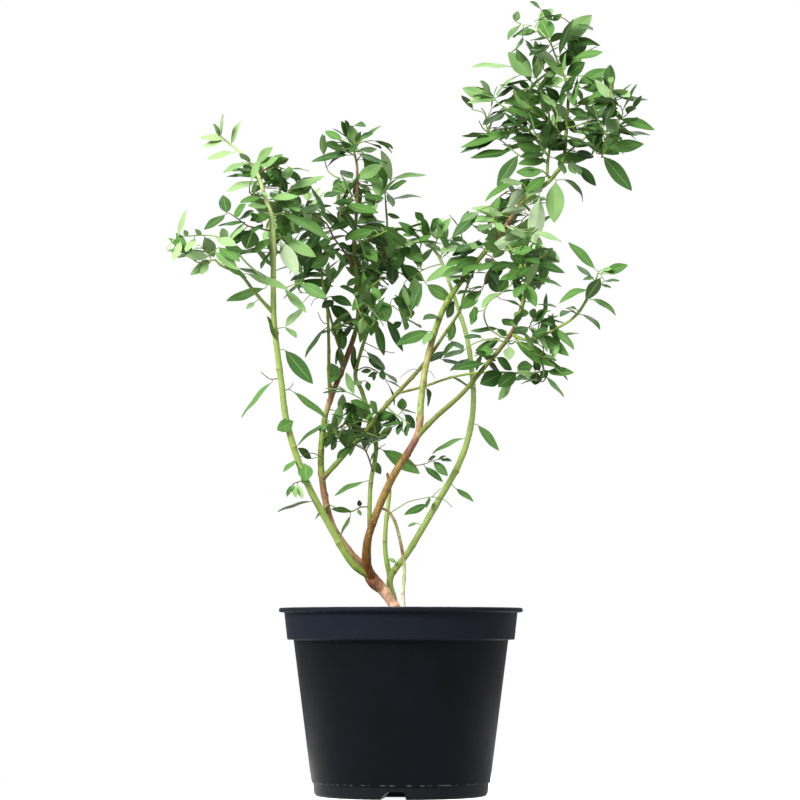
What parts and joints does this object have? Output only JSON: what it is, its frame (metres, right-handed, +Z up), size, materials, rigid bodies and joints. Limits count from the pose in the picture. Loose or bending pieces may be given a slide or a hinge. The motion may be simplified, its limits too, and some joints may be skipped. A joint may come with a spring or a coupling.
{
  "type": "potted blueberry bush",
  "caption": "Young bush with long bare canes and tufts of narrow leaves at their ends, standing in a round tapered nursery pot with a flanged lip.",
  "frame": {"origin": "middle of the pot's flat underside", "axes": "+Z up along the pot's axis, -Y towards the side that the picture shows, +X to the right in that view"},
  "size_m": [0.4487, 0.2808, 0.7519],
  "materials": {
    "pot_plastic": "matte",
    "compost": "matte",
    "bark": "matte",
    "red_cane": "satin",
    "green_cane": "satin",
    "dead_wood": "matte",
    "foliage": "satin"
  },
  "bodies": {
    "root": {"bough_high_right": "green_cane", "bough_high_right_top": "green_cane", "bough_left_arm": "green_cane", "bough_low_right": "green_cane", "bough_middle_left": "green_cane", "bough_middle_right": "green_cane", "bough_right": "green_cane", "bough_right_arm": "green_cane", "cane_green": "green_cane", "cane_green_top": "green_cane", "cane_left": "green_cane", "cane_left_top": "green_cane", "cane_middle": "green_cane", "cane_middle_top": "green_cane", "cane_right": "red_cane", "cane_slim": "green_cane", "cane_slim_top": "green_cane", "compost": "compost", "foliage_crest": "foliage", "foliage_crest_left": "foliage", "foliage_crest_right": "foliage", "foliage_crest_top": "foliage", "foliage_fork": "foliage", "foliage_green_top": "foliage", "foliage_hanging": "foliage", "foliage_left_arm": "foliage", "foliage_left_back": "foliage", "foliage_left_inner": "foliage", "foliage_left_lower": "foliage", "foliage_left_tip": "foliage", "foliage_left_upper": "foliage", "foliage_low": "foliage", "foliage_middle": "foliage", "foliage_middle_back": "foliage", "foliage_middle_front": "foliage", "foliage_middle_left": "foliage", "foliage_middle_low": "foliage", "foliage_middle_top": "foliage", "foliage_middle_upper": "foliage", "foliage_right_arm": "foliage", "foliage_right_back": "foliage", "foliage_right_low": "foliage", "foliage_right_middle": "foliage", "foliage_right_neck": "foliage", "foliage_right_tip": "foliage", "foliage_right_upper": "foliage", "foliage_under_middle": "foliage", "pot": "pot_plastic", "shoot_foot": "green_cane", "shoot_stub": "green_cane", "sprig_left": "foliage", "sprig_middle": "foliage", "sprig_right": "foliage", "sprig_right_upper": "foliage", "stem_dead": "dead_wood", "trunk": "bark"}
  },
  "joints": []
}
